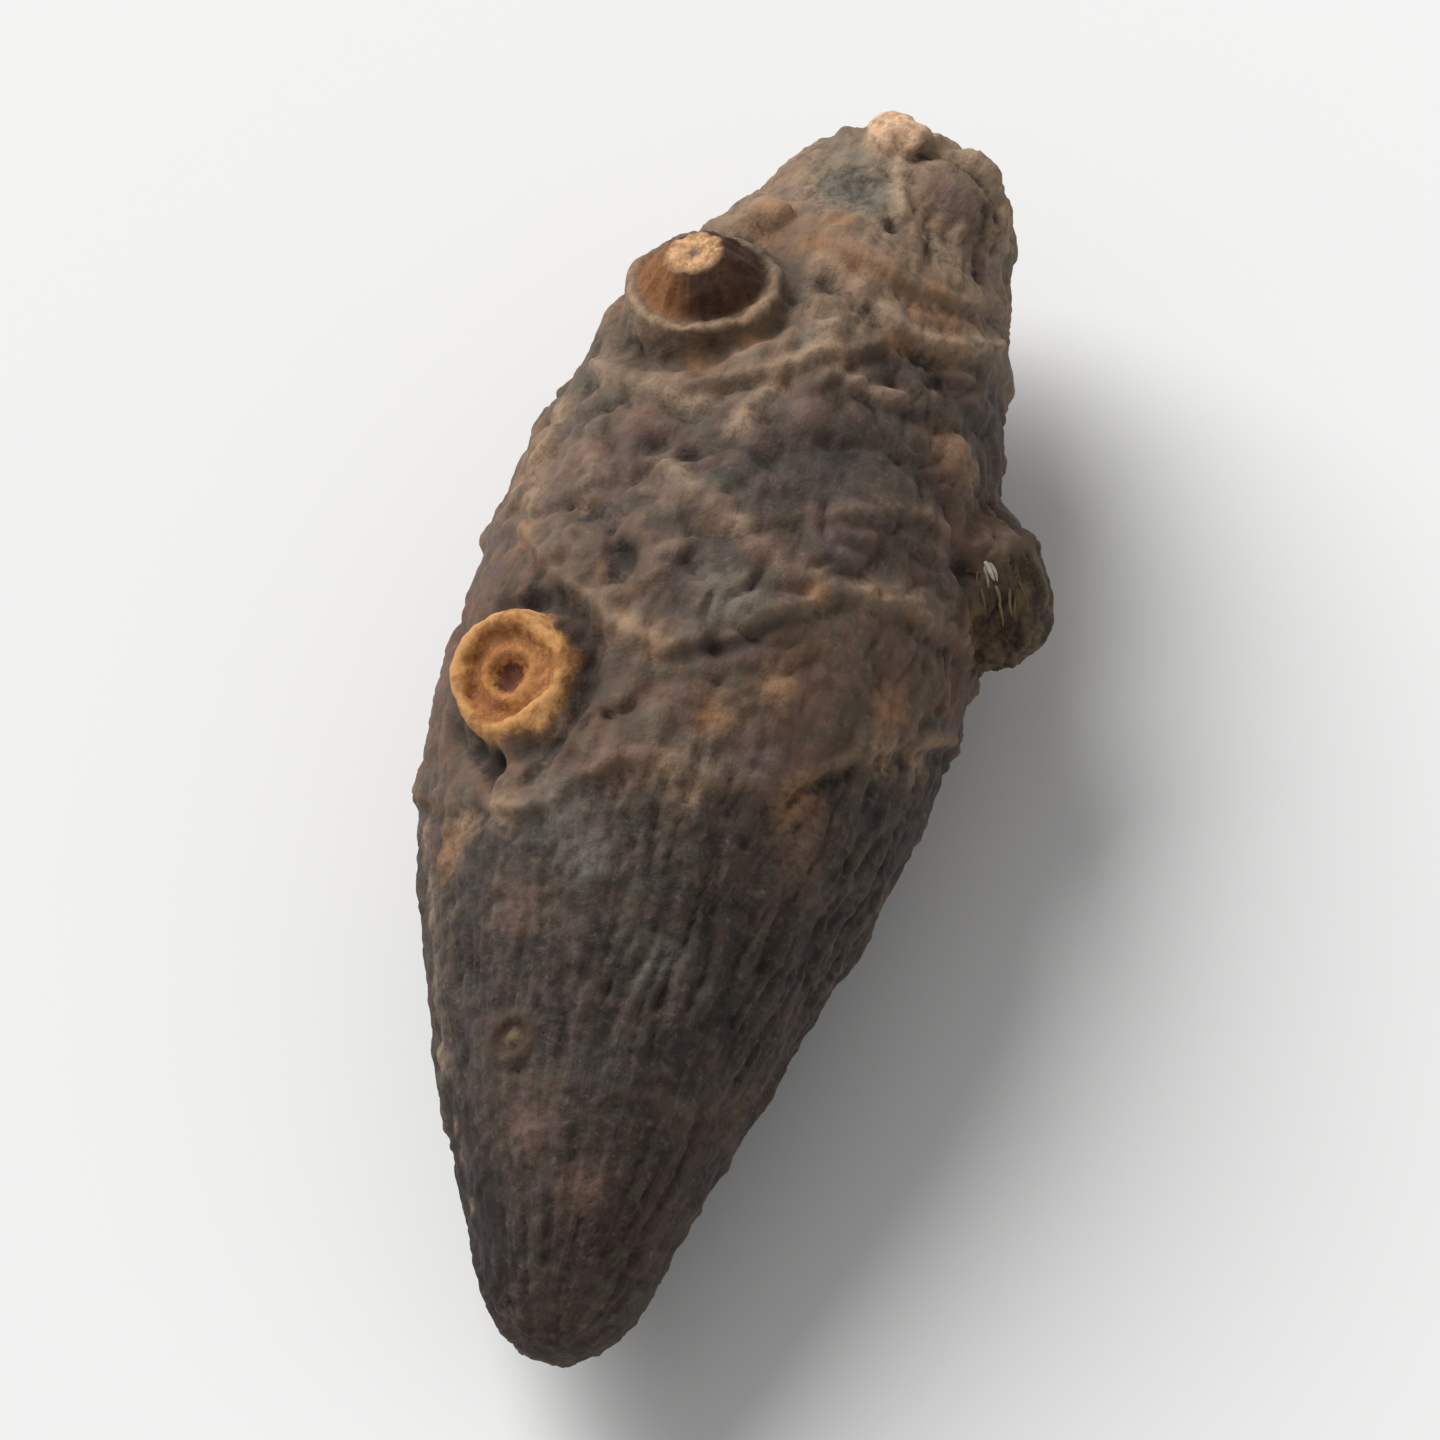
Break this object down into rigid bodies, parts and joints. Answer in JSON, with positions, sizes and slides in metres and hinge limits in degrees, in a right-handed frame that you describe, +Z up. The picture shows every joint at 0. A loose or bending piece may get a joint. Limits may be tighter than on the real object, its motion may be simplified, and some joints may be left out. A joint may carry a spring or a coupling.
{
  "type": "nutgrass rhizome",
  "caption": "Dried whole rhizome: a dark wrinkled spindle with slanting leaf-scar rings, a broken stem stub in a collar, a round root scar and small buds, lying on a flattened underside.",
  "frame": {"origin": "centre of the bounding box's bottom, on the surface the rhizome lies on", "axes": "+Y from the narrow tip to the blunt crown, +Z up from the flattened underside to the side with the stem stub, +X to the side bud"},
  "size_m": [0.01, 0.0244, 0.008],
  "materials": {
    "bark": "dry, finely wrinkled grey-brown bark, matte with a faint sheen"
  },
  "bodies": {
    "root": {"rhizome": "bark"}
  },
  "joints": []
}
